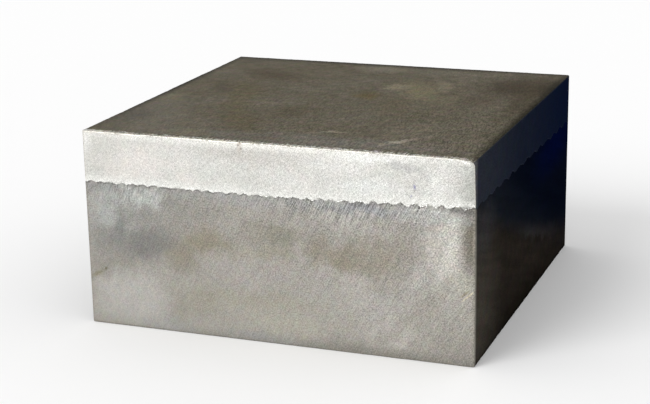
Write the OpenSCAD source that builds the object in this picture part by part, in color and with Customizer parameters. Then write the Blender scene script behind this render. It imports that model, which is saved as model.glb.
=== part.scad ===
// Clad metal plate: a test block of explosion-bonded stock.
// A cladding plate of light alloy lies on a thicker steel base plate.
// The blast drove them together from the front left corner, so the bond is a
// train of small waves that grow longer and higher away from that corner.
// The origin is the centre of the bottom face, +Z is the clad side, and -Y is
// the sanded front face that shows the bond.

/* [Block] */
// Width of the block along its front face
block_w = 100; // [60:1:160]
// Depth of the block from its front face to its back face
block_d = 98; // [60:1:160]
// Mean thickness of the steel base plate
base_t = 37.1; // [20:0.1:60]
// Mean thickness of the cladding plate
clad_t = 12.9; // [6:0.1:25]
// How much thinner the cladding is on the right side than on the left side
thin_right = 1.4; // [0:0.1:3]
// How much thicker the cladding is at the back than at the front
thick_back = 1.0; // [0:0.1:3]

/* [Bond] */
// Direction that the weld ran in, turned from the front face towards the back
weld_turn = 26; // [0:1:60]
// Length of the first waves, at the front left corner
wave_len_near = 2.5; // [2:0.1:5]
// Length of the last waves, at the back right corner
wave_len_far = 3.4; // [2:0.1:6]
// Height of the first waves from trough to crest
wave_h_near = 0.3; // [0.1:0.05:0.8]
// Height of the last waves from trough to crest
wave_h_far = 0.7; // [0.1:0.05:1.2]
// How uneven the waves are in height, as a share of it
uneven_h = 0.65; // [0:0.05:0.8]
// How uneven the waves are in length, as a share of it
uneven_len = 0.35; // [0:0.05:0.5]
// How far the crests lean the way the weld ran, as a share of a wave
wave_lean = 0.08; // [0:0.01:0.12]
// How far the bond swells up and down between the corners
bond_swell = 0.3; // [0:0.05:1]
// Length of that swell along the weld
swell_len = 90; // [40:5:200]

/* [Edges] */
// Width of the small flat that breaks every outer edge
edge_break = 0.4; // [0.1:0.1:1.5]
// How far the ground-off front right top corner reaches along its edges
corner_cut = 2.2; // [0.5:0.1:5]

/* [Hidden] */
block_t = base_t + clad_t;
// Reach of the block along the weld, from corner to corner
weld_run = block_w * cos(weld_turn) + block_d * sin(weld_turn);
// Length of the crests, which reach past the block on both sides
crest_len = block_w + block_d;
wave_count = round(2 * weld_run / (wave_len_near + wave_len_far));
wave_steps = 8;
wave_seed = 52;
// Power that makes the crests a little rounder than the troughs
crest_power = 1.6;
// Mean height of such a wave, which puts its middle at the bond's own level
crest_mean = 0.54;
height_noise = rands(-1, 1, wave_count + 1, wave_seed);
place_noise = rands(-0.5, 0.5, wave_count + 1, wave_seed + 1);
// The swell is lowest under the middle of the front face
swell_low_at = -block_d / 2 * sin(weld_turn);
// Tilt of the bond, from the change of the cladding's thickness
tilt_right = atan(thin_right / block_w);
tilt_back = atan(thick_back / block_d);
// The bond's prism runs a little past the corners of the block
run_spare = 2;

// Place along the weld at a share t of the run, with waves that grow evenly
function run_at(t) =
    weld_run * (2 * wave_len_near * t + (wave_len_far - wave_len_near) * t * t)
    / (wave_len_near + wave_len_far) - weld_run / 2;

// Place of the trough before the wave with number k, moved by its own unevenness
function trough_at(k) =
    run_at(k / wave_count)
    + uneven_len * min(wave_len_near, wave_len_far) * place_noise[min(k, wave_count)];

// Height of one wave's outline at a share p of its length
function crest_at(p) = pow(sin(180 * p), crest_power) - crest_mean;

// Height of the wave with number k, with its own unevenness
function wave_height(k, t) =
    (wave_h_near + (wave_h_far - wave_h_near) * t) * (1 + uneven_h * height_noise[k]);

// Height of the swell at a place along the weld
function swell_at(run) = -bond_swell * cos(360 * (run - swell_low_at) / swell_len);

// One point of the bond's outline, where i counts the steps along the weld
function bond_point(i) =
    let (
        t = i / (wave_count * wave_steps),
        k = floor(i / wave_steps),
        p = (i % wave_steps) / wave_steps,
        start = trough_at(k),
        wave_len = trough_at(k + 1) - start,
        run = start + wave_len * (p + wave_lean * sin(180 * p))
    )
    [run, swell_at(run) + wave_height(k, t) * crest_at(p)];

bond_outline = [for (i = [0 : wave_count * wave_steps]) bond_point(i)];

// Rectangle round the origin with its four corners cut at 45 degrees
module broken_rect(w, h) {
    x = w / 2;
    y = h / 2;
    polygon([
        [x - edge_break, -y], [x, -y + edge_break],
        [x, y - edge_break], [x - edge_break, y],
        [-x + edge_break, y], [-x, y - edge_break],
        [-x, -y + edge_break], [-x + edge_break, -y]
    ]);
}

// The whole block with its outer edges broken
module broken_block() {
    intersection() {
        linear_extrude(block_t)
            broken_rect(block_w, block_d);
        translate([0, block_d / 2, block_t / 2])
            rotate([90, 0, 0])
                linear_extrude(block_d)
                    broken_rect(block_w, block_t);
        translate([-block_w / 2, 0, block_t / 2])
            rotate([90, 0, 90])
                linear_extrude(block_w)
                    broken_rect(block_d, block_t);
    }
}

// Flat that cuts off the front right top corner, square to its diagonal
module corner_flat() {
    translate([block_w / 2, -block_d / 2, block_t])
        rotate([0, atan(sqrt(2)), -45])
            translate([-corner_cut, -corner_cut, -corner_cut / sqrt(3)])
                cube([2 * corner_cut, 2 * corner_cut, corner_cut]);
}

// Everything below the bond: the wave outline drawn along its crests
module below_bond() {
    edge = weld_run / 2 + run_spare;
    translate([0, 0, base_t])
        rotate([-tilt_back, -tilt_right, 0])
            rotate([0, 0, weld_turn])
                translate([0, crest_len / 2, 0])
                    rotate([90, 0, 0])
                        linear_extrude(crest_len)
                            polygon(concat(
                                [[edge, 0], [edge, -block_t], [-edge, -block_t], [-edge, 0]],
                                bond_outline
                            ));
}

module base_plate() {
    color("darkgray")
        intersection() {
            broken_block();
            below_bond();
        }
}

module cladding_plate() {
    color("gainsboro")
        difference() {
            broken_block();
            below_bond();
            corner_flat();
        }
}

base_plate();
cladding_plate();
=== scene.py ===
"""Looks of a block of clad metal plate: a steel base under a bonded light-alloy cladding.

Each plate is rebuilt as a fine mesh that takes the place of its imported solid. The mesh
starts as a sheet whose strips lie along the crests of the bond's waves, so that the waves
run through the whole block and show as one ragged line on all four sides. Sizes are in
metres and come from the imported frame. Patterns in the materials are in millimetres.
"""

import logging
import math
from dataclasses import dataclass, field, replace
from enum import Enum

import bpy
import numpy as np
from mathutils import Matrix, Vector


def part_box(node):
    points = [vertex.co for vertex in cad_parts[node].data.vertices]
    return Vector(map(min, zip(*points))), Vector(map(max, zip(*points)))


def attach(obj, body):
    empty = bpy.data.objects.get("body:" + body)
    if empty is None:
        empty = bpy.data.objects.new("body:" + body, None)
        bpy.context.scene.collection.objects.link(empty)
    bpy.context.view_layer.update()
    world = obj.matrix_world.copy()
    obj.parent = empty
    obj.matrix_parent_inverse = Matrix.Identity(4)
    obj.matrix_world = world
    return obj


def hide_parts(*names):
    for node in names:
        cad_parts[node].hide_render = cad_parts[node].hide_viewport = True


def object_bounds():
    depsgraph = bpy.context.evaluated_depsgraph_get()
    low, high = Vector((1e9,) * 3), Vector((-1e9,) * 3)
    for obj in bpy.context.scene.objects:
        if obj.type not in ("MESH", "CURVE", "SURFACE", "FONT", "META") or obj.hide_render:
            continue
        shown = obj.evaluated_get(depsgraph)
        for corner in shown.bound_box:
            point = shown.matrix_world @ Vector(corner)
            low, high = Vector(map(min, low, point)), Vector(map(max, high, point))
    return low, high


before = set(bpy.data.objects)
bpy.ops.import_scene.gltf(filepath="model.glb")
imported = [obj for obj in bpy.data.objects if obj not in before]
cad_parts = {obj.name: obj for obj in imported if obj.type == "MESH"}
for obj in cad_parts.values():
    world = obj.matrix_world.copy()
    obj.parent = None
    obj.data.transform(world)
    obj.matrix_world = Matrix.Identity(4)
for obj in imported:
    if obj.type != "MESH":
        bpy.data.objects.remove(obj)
CAD_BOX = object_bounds()

log = logging.getLogger("clad_plate")

MM = 0.001
PER_METRE = 1000.0
SIDE_LAYER = "side"

# Direction of the weld, turned from the front face towards the back.
WELD_TURN = math.radians(26.0)
# Faces that meet at more than this keep a crisp edge between them.
CRISP_ANGLE = math.radians(32.0)
# Half the width of a face, in millimetres.
HALF_FACE = 50.0
# Reach of a patch square to its face, so large that depth doesn't matter.
ANY_DEPTH = 1.0e6

Colour = tuple[float, float, float]
Socket = bpy.types.NodeSocket
Numbers = np.ndarray


# ---------------------------------------------------------------- small helpers


def tone(red: int, green: int, blue: int) -> Colour:
    """Turn a colour on the usual 0 to 255 scale into the linear values of a shader.

    Args:
        red: The red part, from 0 to 255.
        green: The green part, from 0 to 255.
        blue: The blue part, from 0 to 255.

    Returns:
        The three linear parts, from 0 to 1.
    """
    parts = np.array([red, green, blue]) / 255.0
    linear = np.where(parts <= 0.04045, parts / 12.92, ((parts + 0.055) / 1.055) ** 2.4)
    return tuple(float(part) for part in linear)


def points_of(mesh: bpy.types.Mesh) -> Numbers:
    """Read the vertices of a mesh.

    Args:
        mesh: The mesh to read.

    Returns:
        An array of one row of x, y, z for each vertex.
    """
    flat = np.empty(len(mesh.vertices) * 3)
    mesh.vertices.foreach_get("co", flat)
    return flat.reshape(-1, 3)


def set_points(mesh: bpy.types.Mesh, points: Numbers) -> None:
    """Move the vertices of a mesh.

    Args:
        mesh: The mesh to change.
        points: One row of x, y, z for each vertex.
    """
    mesh.vertices.foreach_set("co", points.astype(np.float32).ravel())
    mesh.update()


def ripple(points: Numbers, size: float, seed: int) -> Numbers:
    """Smooth uneven value at each point, made of a few crossing sine waves.

    Args:
        points: One row of x, y, z for each point, in metres.
        size: The length of a typical bump, in metres.
        seed: Chooses one of many such patterns.

    Returns:
        One value for each point, mostly between -1 and 1.
    """
    source = np.random.default_rng(seed)
    total = np.zeros(len(points))
    waves = 9
    shortest, longest = 0.6, 2.2
    for _ in range(waves):
        direction = source.normal(size=3)
        direction /= np.linalg.norm(direction)
        length = size * source.uniform(shortest, longest)
        start = source.uniform(0.0, 2.0 * math.pi)
        total += np.sin(points @ direction * 2.0 * math.pi / length + start)
    return total / math.sqrt(waves)


# ---------------------------------------------------------------- the block


class Side(Enum):
    """The faces of the block, each with its outward direction."""

    FRONT = (0.0, -1.0, 0.0)
    BACK = (0.0, 1.0, 0.0)
    LEFT = (-1.0, 0.0, 0.0)
    RIGHT = (1.0, 0.0, 0.0)
    TOP = (0.0, 0.0, 1.0)
    BOTTOM = (0.0, 0.0, -1.0)

    @property
    def outward(self) -> Vector:
        """Outward direction of the face."""
        return Vector(self.value)


WALLS = (Side.FRONT, Side.BACK, Side.LEFT, Side.RIGHT)


@dataclass(frozen=True)
class BondSurface:
    """The wavy surface in which the two plates meet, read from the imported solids.

    Attributes:
        turn: Direction of the weld, turned from the front face towards the back.
        plane: Height at the origin, slope along x and slope along y of its mean.
        reach: Places along the weld at which the waves are known.
        wave: Height of the waves above the mean plane at those places.
        frayed: Height of the fine raggedness that cutting and sanding leave.
    """

    turn: float
    plane: tuple[float, float, float]
    reach: Numbers
    wave: Numbers
    frayed: float = 0.06 * MM

    @classmethod
    def from_frame(cls, turn: float) -> "BondSurface":
        """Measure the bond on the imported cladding, whose underside it is.

        Args:
            turn: Direction of the weld, in radians from x towards y.

        Returns:
            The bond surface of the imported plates.
        """
        hair = 0.001 * MM
        step = 0.02 * MM
        points = points_of(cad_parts["cladding_plate"].data)
        top_of_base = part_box("base_plate")[1].z
        band = points[points[:, 2] <= top_of_base + hair]
        known = np.column_stack([np.ones(len(band)), band[:, 0], band[:, 1]])
        plane = np.linalg.lstsq(known, band[:, 2], rcond=None)[0]
        along = band[:, 0] * math.cos(turn) + band[:, 1] * math.sin(turn)
        cells, first = np.unique(np.round(along / step), return_index=True)
        wave = (band[:, 2] - known @ plane)[first]
        return cls(turn, tuple(float(v) for v in plane), cells * step, wave)

    def height(self, points: Numbers) -> Numbers:
        """Height of the bond over or under each point.

        Args:
            points: One row of x, y, z for each point.

        Returns:
            The height z of the bond at each x and y.
        """
        x, y = points[:, 0], points[:, 1]
        along = x * math.cos(self.turn) + y * math.sin(self.turn)
        flat = np.column_stack([x, y, np.zeros(len(x))])
        fray = ripple(flat, size=0.4 * MM, seed=5) + 0.6 * ripple(flat, size=1.0 * MM, seed=6)
        mean = self.plane[0] + self.plane[1] * x + self.plane[2] * y
        return mean + np.interp(along, self.reach, self.wave) + self.frayed * fray


@dataclass(frozen=True)
class Nick:
    """A small dent in an outer edge.

    Attributes:
        place: Middle of the dent.
        width: Half its width.
        depth: How much it widens the broken edge.
    """

    place: tuple[float, float, float]
    width: float
    depth: float


@dataclass
class Plate:
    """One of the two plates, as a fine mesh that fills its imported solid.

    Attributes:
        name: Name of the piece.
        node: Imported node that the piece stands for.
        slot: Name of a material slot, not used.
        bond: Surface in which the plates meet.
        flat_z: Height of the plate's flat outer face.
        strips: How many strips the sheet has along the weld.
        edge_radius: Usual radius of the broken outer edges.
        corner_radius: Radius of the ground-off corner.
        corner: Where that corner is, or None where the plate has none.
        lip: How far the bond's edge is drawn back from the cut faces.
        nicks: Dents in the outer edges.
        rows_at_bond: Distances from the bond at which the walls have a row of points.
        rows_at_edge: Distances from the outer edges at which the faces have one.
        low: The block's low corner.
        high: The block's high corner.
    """

    name: str
    node: str
    slot: str
    bond: BondSurface
    flat_z: float
    strips: int = 900
    edge_radius: float = 0.33 * MM
    corner_radius: float = 2.1 * MM
    corner: tuple[float, float, float] | None = None
    lip: float = 0.05 * MM
    nicks: tuple[Nick, ...] = ()
    rows_at_bond: tuple[float, ...] = (0.06 * MM, 0.14 * MM, 0.4 * MM, 1.0 * MM)
    rows_at_edge: tuple[float, ...] = tuple(
        MM * v for v in (2.2, 1.6, 1.1, 0.75, 0.5, 0.34, 0.22, 0.13, 0.06)
    )
    low: Vector = field(default_factory=lambda: CAD_BOX[0].copy())
    high: Vector = field(default_factory=lambda: CAD_BOX[1].copy())

    @property
    def outward(self) -> float:
        """1 where the plate lies above the bond, and -1 where it lies below."""
        return 1.0 if self.flat_z > self.bond.plane[0] else -1.0

    def build(self) -> bpy.types.Object:
        """Model the plate.

        Returns:
            The finished piece, with its place in its mesh.
        """
        piece = self._add_sheet()
        self._trim_to_walls()
        self._add_edge_cuts()
        self._draw_out_body()
        self._add_wall_rows(piece)
        self._shape(piece)
        return piece

    def _add_sheet(self) -> bpy.types.Object:
        """Add a sheet of narrow strips that lie along the wave crests.

        Returns:
            The sheet's object, in edit mode.
        """
        spare = 1.05
        span = (self.high - self.low).to_2d().length * spare
        bpy.ops.object.select_all(action="DESELECT")
        bpy.ops.mesh.primitive_grid_add(
            x_subdivisions=self.strips, y_subdivisions=1, size=1.0, enter_editmode=True
        )
        bpy.ops.transform.resize(value=(span, span, 1.0))
        bpy.ops.transform.rotate(
            value=-self.bond.turn, orient_axis="Z", center_override=(0.0, 0.0, 0.0)
        )
        piece = bpy.context.object
        piece.name = self.name
        piece.data.name = self.name
        return piece

    def _bisect(self, place: Vector, normal: Vector, clear: bool) -> None:
        """Cut all of the mesh in edit mode with a plane.

        Args:
            place: A point on the plane.
            normal: The plane's normal.
            clear: Whether what lies on the normal's side is removed.
        """
        bpy.ops.mesh.select_all(action="SELECT")
        bpy.ops.mesh.bisect(plane_co=place, plane_no=normal, clear_outer=clear)

    def _wall(self, side: Side, depth: float) -> Vector:
        """Point on a plane that lies inside one of the walls.

        Args:
            side: The wall.
            depth: How far inside it the plane lies.

        Returns:
            A point on that plane.
        """
        outer = self.high if max(side.value) > 0.0 else self.low
        return outer - side.outward * depth

    def _trim_to_walls(self) -> None:
        """Cut the sheet to the block's outline."""
        for side in WALLS:
            self._bisect(self._wall(side, 0.0), side.outward, True)

    def _add_edge_cuts(self) -> None:
        """Cut rows beside each wall, which the broken edges are bent from."""
        for side in WALLS:
            for depth in self.rows_at_edge:
                self._bisect(self._wall(side, depth), side.outward, False)

    def _draw_out_body(self) -> None:
        """Extrude the sheet away from the bond, to a rough thickness."""
        bpy.ops.mesh.select_all(action="SELECT")
        reach = self.flat_z - self.bond.plane[0]
        bpy.ops.mesh.extrude_region_move(TRANSFORM_OT_translate={"value": (0.0, 0.0, reach)})

    def _add_wall_rows(self, piece: bpy.types.Object) -> None:
        """Divide the walls into rows.

        Args:
            piece: The plate, in edit mode.
        """
        bpy.ops.mesh.select_mode(type="EDGE")
        bpy.ops.mesh.select_all(action="DESELECT")
        bpy.ops.object.mode_set(mode="OBJECT")
        mesh = piece.data
        points = points_of(mesh)
        ends = np.empty(len(mesh.edges) * 2, dtype=np.int32)
        mesh.edges.foreach_get("vertices", ends)
        ends = ends.reshape(-1, 2)
        level = 0.1 * MM
        upright = np.abs(points[ends[:, 0], 2] - points[ends[:, 1], 2]) > level
        mesh.edges.foreach_set("select", upright)
        chosen = np.zeros(len(points), dtype=bool)
        chosen[ends[upright].ravel()] = True
        mesh.vertices.foreach_set("select", chosen)
        bpy.ops.object.mode_set(mode="EDIT")
        bpy.ops.mesh.subdivide(number_cuts=len(self.rows_at_bond) + len(self.rows_at_edge))
        bpy.ops.mesh.select_all(action="SELECT")
        bpy.ops.mesh.normals_make_consistent(inside=False)
        bpy.ops.object.mode_set(mode="OBJECT")

    def _shape(self, piece: bpy.types.Object) -> None:
        """Bend the rough body to the bond, the flat face and the worn edges.

        Args:
            piece: The plate, in object mode.
        """
        self._keep_sides(piece.data)
        points = points_of(piece.data)
        gap = self._settle_rows(points)
        near = self._edge_distance(points)
        self._draw_back_lip(points, gap)
        self._break_edges(points)
        set_points(piece.data, points)
        self._keep(piece.data, "bond_gap", gap * PER_METRE)
        self._keep(piece.data, "edge_near", near * PER_METRE)
        self._keep(piece.data, "corner_near", self._corner_distance(points) * PER_METRE)
        bpy.ops.object.select_all(action="DESELECT")
        piece.select_set(True)
        bpy.context.view_layer.objects.active = piece
        bpy.ops.object.shade_smooth_by_angle(angle=CRISP_ANGLE)

    @staticmethod
    def _keep_sides(mesh: bpy.types.Mesh) -> None:
        """Store the side of the block that each face belongs to, while all are square.

        Args:
            mesh: The rough body.
        """
        normals = np.empty(len(mesh.polygons) * 3)
        mesh.polygons.foreach_get("normal", normals)
        directions = np.array([side.value for side in Side])
        facing = np.argmax(normals.reshape(-1, 3) @ directions.T, axis=1)
        layer = mesh.attributes.new(SIDE_LAYER, "INT", "FACE")
        layer.data.foreach_set("value", facing.astype(np.int32))

    def _corner_distance(self, points: Numbers) -> Numbers:
        """Distance of each vertex from the ground-off corner.

        Args:
            points: The vertices.

        Returns:
            The distance, which is a whole metre on a plate without such a corner.
        """
        if self.corner is None:
            return np.ones(len(points))
        return np.linalg.norm(points - np.array(self.corner), axis=1)

    def _settle_rows(self, points: Numbers) -> Numbers:
        """Slide each row of the body to its height.

        Args:
            points: The vertices, which are changed in place.

        Returns:
            How far each vertex lies from the bond, in metres.
        """
        rough = (self.flat_z - self.bond.plane[0]) / (
            len(self.rows_at_bond) + len(self.rows_at_edge) + 1
        )
        row = np.round(points[:, 2] / rough).astype(int)
        bond_z = self.bond.height(points)
        sign = self.outward
        near_bond = len(self.rows_at_bond)
        from_bond = np.array([0.0, *self.rows_at_bond])
        from_face = np.array([*self.rows_at_edge, 0.0])
        low_rows = row <= near_bond
        points[low_rows, 2] = bond_z[low_rows] + sign * from_bond[row[low_rows]]
        high_rows = ~low_rows
        points[high_rows, 2] = self.flat_z - sign * from_face[row[high_rows] - near_bond - 1]
        return np.abs(points[:, 2] - bond_z)

    def _box(self) -> tuple[Numbers, Numbers]:
        """Low and high corner of the block, as arrays."""
        return np.array(self.low), np.array(self.high)

    def _edge_distance(self, points: Numbers) -> Numbers:
        """Distance of each vertex from the nearest outer edge.

        Args:
            points: The vertices, before their edges are broken.

        Returns:
            The distance, which is the second smallest to the block's faces.
        """
        low, high = self._box()
        to_faces = np.column_stack([points - low, high - points])
        return np.sort(to_faces, axis=1)[:, 1]

    def _draw_back_lip(self, points: Numbers, gap: Numbers) -> None:
        """Draw the bond's edge back from the cut faces, to leave a hairline groove.

        Args:
            points: The vertices, which are changed in place.
            gap: Distance of each vertex from the bond.
        """
        reach = self.rows_at_bond[1]
        share = np.clip(1.0 - gap / reach, 0.0, 1.0) ** 1.5
        uneven = 0.75 + 0.45 * ripple(points, size=2.5 * MM, seed=9)
        depth = self.lip * share * np.clip(uneven, 0.1, 1.6)
        low, high = self._box()
        for axis in (0, 1):
            points[:, axis] = np.clip(points[:, axis], low[axis] + depth, high[axis] - depth)

    def _break_edges(self, points: Numbers) -> None:
        """Round the outer edges unevenly, with their nicks and the ground corner.

        Args:
            points: The vertices, which are changed in place.
        """
        slow = 0.22 * ripple(points, size=3.0 * MM, seed=11)
        quick = 0.16 * ripple(points, size=0.9 * MM, seed=12)
        radius = self.edge_radius * np.clip(1.0 + (slow + quick), 0.35, 1.9)
        for nick in self.nicks:
            away = np.linalg.norm(points - np.array(nick.place), axis=1)
            radius += nick.depth * np.exp(-((away / nick.width) ** 2))
        if self.corner is not None:
            width = 1.35 * self.corner_radius
            grow = np.exp(-((self._corner_distance(points) / width) ** 2))
            radius += (self.corner_radius - self.edge_radius) * grow
        low, high = self._box()
        low, high = low + radius[:, None], high - radius[:, None]
        base = np.clip(points, low, high)
        if self.outward > 0.0:
            base[:, 2] = np.minimum(points[:, 2], high[:, 2])
        else:
            base[:, 2] = np.maximum(points[:, 2], low[:, 2])
        arm = points - base
        length = np.linalg.norm(arm, axis=1)
        outside = length > radius
        scale = radius[outside] / length[outside]
        points[outside] = base[outside] + arm[outside] * scale[:, None]

    @staticmethod
    def _keep(mesh: bpy.types.Mesh, name: str, values: Numbers) -> None:
        """Store one number for each vertex, for the materials to read.

        Args:
            mesh: The mesh that keeps the numbers.
            name: The name that the materials ask for.
            values: One number for each vertex.
        """
        layer = mesh.attributes.new(name, "FLOAT", "POINT")
        layer.data.foreach_set("value", values.astype(np.float32))

    def looks(self) -> dict[Side, "MetalFinish"]:
        """Finish of each side of the plate, its hidden face at the bond among them."""
        raise NotImplementedError

    def dress(self, piece: bpy.types.Object) -> None:
        """Give each face of the plate its finish.

        Args:
            piece: The finished mesh.
        """
        mesh = piece.data
        finishes = self.looks()
        slots: dict[str, int] = {}
        for finish in finishes.values():
            if finish.name not in slots:
                slots[finish.name] = len(mesh.materials)
                mesh.materials.append(finish.material())
        layer = mesh.attributes[SIDE_LAYER]
        facing = np.empty(len(mesh.polygons), dtype=np.int32)
        layer.data.foreach_get("value", facing)
        mesh.attributes.remove(layer)
        index = np.array([slots[finishes[side].name] for side in Side])
        mesh.polygons.foreach_set("material_index", index[facing].astype(np.int32))
        mesh.update()

    def hand_over(self, piece: bpy.types.Object) -> None:
        """Tie the piece to the frame.

        Args:
            piece: The dressed plate.
        """
        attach(piece, "root")
        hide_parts(self.node)


# ---------------------------------------------------------------- shader nodes


class Graph:
    """A node tree with short calls that add its nodes and join them."""

    def __init__(self, tree: bpy.types.NodeTree) -> None:
        """Start with a tree, which may hold nodes already.

        Args:
            tree: The tree to add to.
        """
        self.tree = tree

    def add(self, kind: str, **settings: object) -> bpy.types.Node:
        """Add a node.

        Args:
            kind: The node's type name.
            **settings: Properties to set on it.

        Returns:
            The new node.
        """
        node = self.tree.nodes.new(kind)
        for name, value in settings.items():
            setattr(node, name, value)
        return node

    def put(self, target: Socket, value: object) -> None:
        """Join a socket to an input, or write a plain value on it.

        Args:
            target: The input.
            value: A socket, a number or a tuple of numbers.
        """
        if isinstance(value, bpy.types.NodeSocket):
            self.tree.links.new(value, target)
        elif target.type == "RGBA":
            target.default_value = (*value, 1.0)
        else:
            target.default_value = value

    def math(self, operation: str, *values: object) -> Socket:
        """Add a Math node.

        Args:
            operation: The operation's name.
            *values: The inputs, as sockets or numbers.

        Returns:
            The result.
        """
        node = self.add("ShaderNodeMath", operation=operation)
        for target, value in zip(node.inputs, values):
            self.put(target, value)
        return node.outputs[0]

    def split(self, value: Socket) -> dict[str, Socket]:
        """Take a vector apart.

        Args:
            value: The vector.

        Returns:
            Its parts, by the names X, Y and Z.
        """
        node = self.add("ShaderNodeSeparateXYZ")
        self.put(node.inputs[0], value)
        return {name: node.outputs[name] for name in ("X", "Y", "Z")}

    def turned(self, value: Socket, angle: Socket) -> Socket:
        """Turn a vector clockwise about the third axis.

        Args:
            value: The vector.
            angle: How far it is turned, in radians.

        Returns:
            The turned vector.
        """
        node = self.add("ShaderNodeVectorRotate", rotation_type="Z_AXIS")
        self.put(node.inputs["Vector"], value)
        self.put(node.inputs["Angle"], self.math("MULTIPLY", angle, -1.0))
        return node.outputs["Vector"]

    def vector(self, operation: str, *values: object) -> Socket:
        """Add a Vector Math node that gives a vector.

        Args:
            operation: The operation's name.
            *values: The inputs. The last one of SCALE is its factor.

        Returns:
            The resulting vector.
        """
        node = self.add("ShaderNodeVectorMath", operation=operation)
        targets = [node.inputs[0], node.inputs[1]]
        if operation == "SCALE":
            targets[1] = node.inputs["Scale"]
        for target, value in zip(targets, values):
            self.put(target, value)
        return node.outputs["Vector"]

    def length(self, value: Socket) -> Socket:
        """Length of a vector.

        Args:
            value: The vector.

        Returns:
            Its length.
        """
        node = self.add("ShaderNodeVectorMath", operation="LENGTH")
        self.put(node.inputs[0], value)
        return node.outputs["Value"]

    def join(self, x: object, y: object, z: object) -> Socket:
        """Make a vector of three values.

        Args:
            x: The first value.
            y: The second value.
            z: The third value.

        Returns:
            The vector.
        """
        node = self.add("ShaderNodeCombineXYZ")
        for target, value in zip(node.inputs, (x, y, z)):
            self.put(target, value)
        return node.outputs[0]

    def noise(
        self, place: Socket, scale: object, detail: float = 2.0, rough: float = 0.5
    ) -> Socket:
        """Add a Noise Texture and centre its values on 0.

        Args:
            place: Where the pattern is read.
            scale: Bumps for each unit of length.
            detail: How many finer layers it has.
            rough: How strong they are.

        Returns:
            The noise, mostly between -1 and 1.
        """
        node = self.add("ShaderNodeTexNoise")
        self.put(node.inputs["Vector"], place)
        self.put(node.inputs["Scale"], scale)
        self.put(node.inputs["Detail"], detail)
        self.put(node.inputs["Roughness"], rough)
        spread = 3.5
        return self.math("MULTIPLY_ADD", node.outputs["Fac"], spread, -0.5 * spread)

    def fade(self, value: object, start: object, end: object) -> Socket:
        """Smooth step from 0 to 1.

        Args:
            value: The value that is compared.
            start: Where the result is 0.
            end: Where the result is 1.

        Returns:
            The smooth step.
        """
        node = self.add("ShaderNodeMapRange", interpolation_type="SMOOTHSTEP")
        self.put(node.inputs["Value"], value)
        self.put(node.inputs["From Min"], start)
        self.put(node.inputs["From Max"], end)
        return node.outputs["Result"]

    def mix(self, share: object, first: object, second: object) -> Socket:
        """Mix two colours.

        Args:
            share: How much of the second one there is.
            first: The first colour.
            second: The second colour.

        Returns:
            The mixed colour.
        """
        node = self.add("ShaderNodeMix", data_type="RGBA", clamp_factor=True)
        self.put(node.inputs[0], share)
        colours = [target for target in node.inputs if target.type == "RGBA"]
        self.put(colours[0], first)
        self.put(colours[1], second)
        return next(source for source in node.outputs if source.type == "RGBA")

    def group(self, tree: bpy.types.NodeTree, **values: object) -> bpy.types.Node:
        """Place a node group.

        Args:
            tree: The group.
            **values: Its inputs by name, with _ for a space.

        Returns:
            The group's node.
        """
        node = self.add("ShaderNodeGroup", node_tree=tree)
        for name, value in values.items():
            self.put(node.inputs[name.replace("_", " ")], value)
        return node


class Kind(Enum):
    """Socket types of the node groups."""

    NUMBER = "NodeSocketFloat"
    VECTOR = "NodeSocketVector"
    COLOUR = "NodeSocketColor"


class Effect:
    """A node group that several materials share, built when it is first asked for."""

    title = ""
    takes: dict[str, Kind] = {}
    gives: dict[str, Kind] = {}

    @classmethod
    def tree(cls) -> bpy.types.NodeTree:
        """The group's node tree, which is the same one for all materials."""
        known = bpy.data.node_groups.get(cls.title)
        return known if known is not None else cls._build()

    @classmethod
    def _build(cls) -> bpy.types.NodeTree:
        """Make the group, with its sockets.

        Returns:
            The new node tree.
        """
        tree = bpy.data.node_groups.new(cls.title, "ShaderNodeTree")
        for name, kind in cls.takes.items():
            tree.interface.new_socket(name=name, in_out="INPUT", socket_type=kind.value)
        for name, kind in cls.gives.items():
            tree.interface.new_socket(name=name, in_out="OUTPUT", socket_type=kind.value)
        graph = Graph(tree)
        entry = graph.add("NodeGroupInput")
        leave = graph.add("NodeGroupOutput")
        results = cls.draw(graph, {name: entry.outputs[name] for name in cls.takes})
        for name, value in zip(cls.gives, results):
            graph.put(leave.inputs[name], value)
        return tree

    @staticmethod
    def draw(graph: Graph, given: dict[str, Socket]) -> tuple[Socket, ...]:
        """Draw the group's nodes.

        Args:
            graph: The group's graph.
            given: The group's inputs by name.

        Returns:
            The values that the group gives, in their order.
        """
        raise NotImplementedError


class MetalGrain(Effect):
    """Grain, small clouds and wide mottling of a metal surface round 0, and a faint tinge."""

    title = "Metal grain"
    takes = {
        "Position": Kind.VECTOR,
        "Grain Size": Kind.NUMBER,
        "Cloud Size": Kind.NUMBER,
        "Mottle Size": Kind.NUMBER,
    }
    gives = {
        "Grain": Kind.NUMBER,
        "Clouds": Kind.NUMBER,
        "Mottle": Kind.NUMBER,
        "Tinge": Kind.COLOUR,
    }

    @staticmethod
    def draw(graph: Graph, given: dict[str, Socket]) -> tuple[Socket, ...]:
        """Draw the grain.

        Args:
            graph: The group's graph.
            given: Position and the three sizes, in millimetres.

        Returns:
            The grain, the clouds, the mottling and the tinge.
        """
        place = given["Position"]
        fine, small, wide = (
            graph.math("DIVIDE", 1.0, given[size])
            for size in ("Grain Size", "Cloud Size", "Mottle Size")
        )
        grain = graph.noise(place, fine, detail=1.0, rough=0.6)
        clouds = graph.noise(place, small, detail=2.0, rough=0.6)
        mottle = graph.noise(place, wide, detail=3.0, rough=0.55)
        tinge = graph.add("ShaderNodeTexNoise")
        graph.put(tinge.inputs["Vector"], place)
        graph.put(tinge.inputs["Scale"], small)
        graph.put(tinge.inputs["Detail"], 1.0)
        return grain, clouds, mottle, tinge.outputs["Color"]


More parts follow.
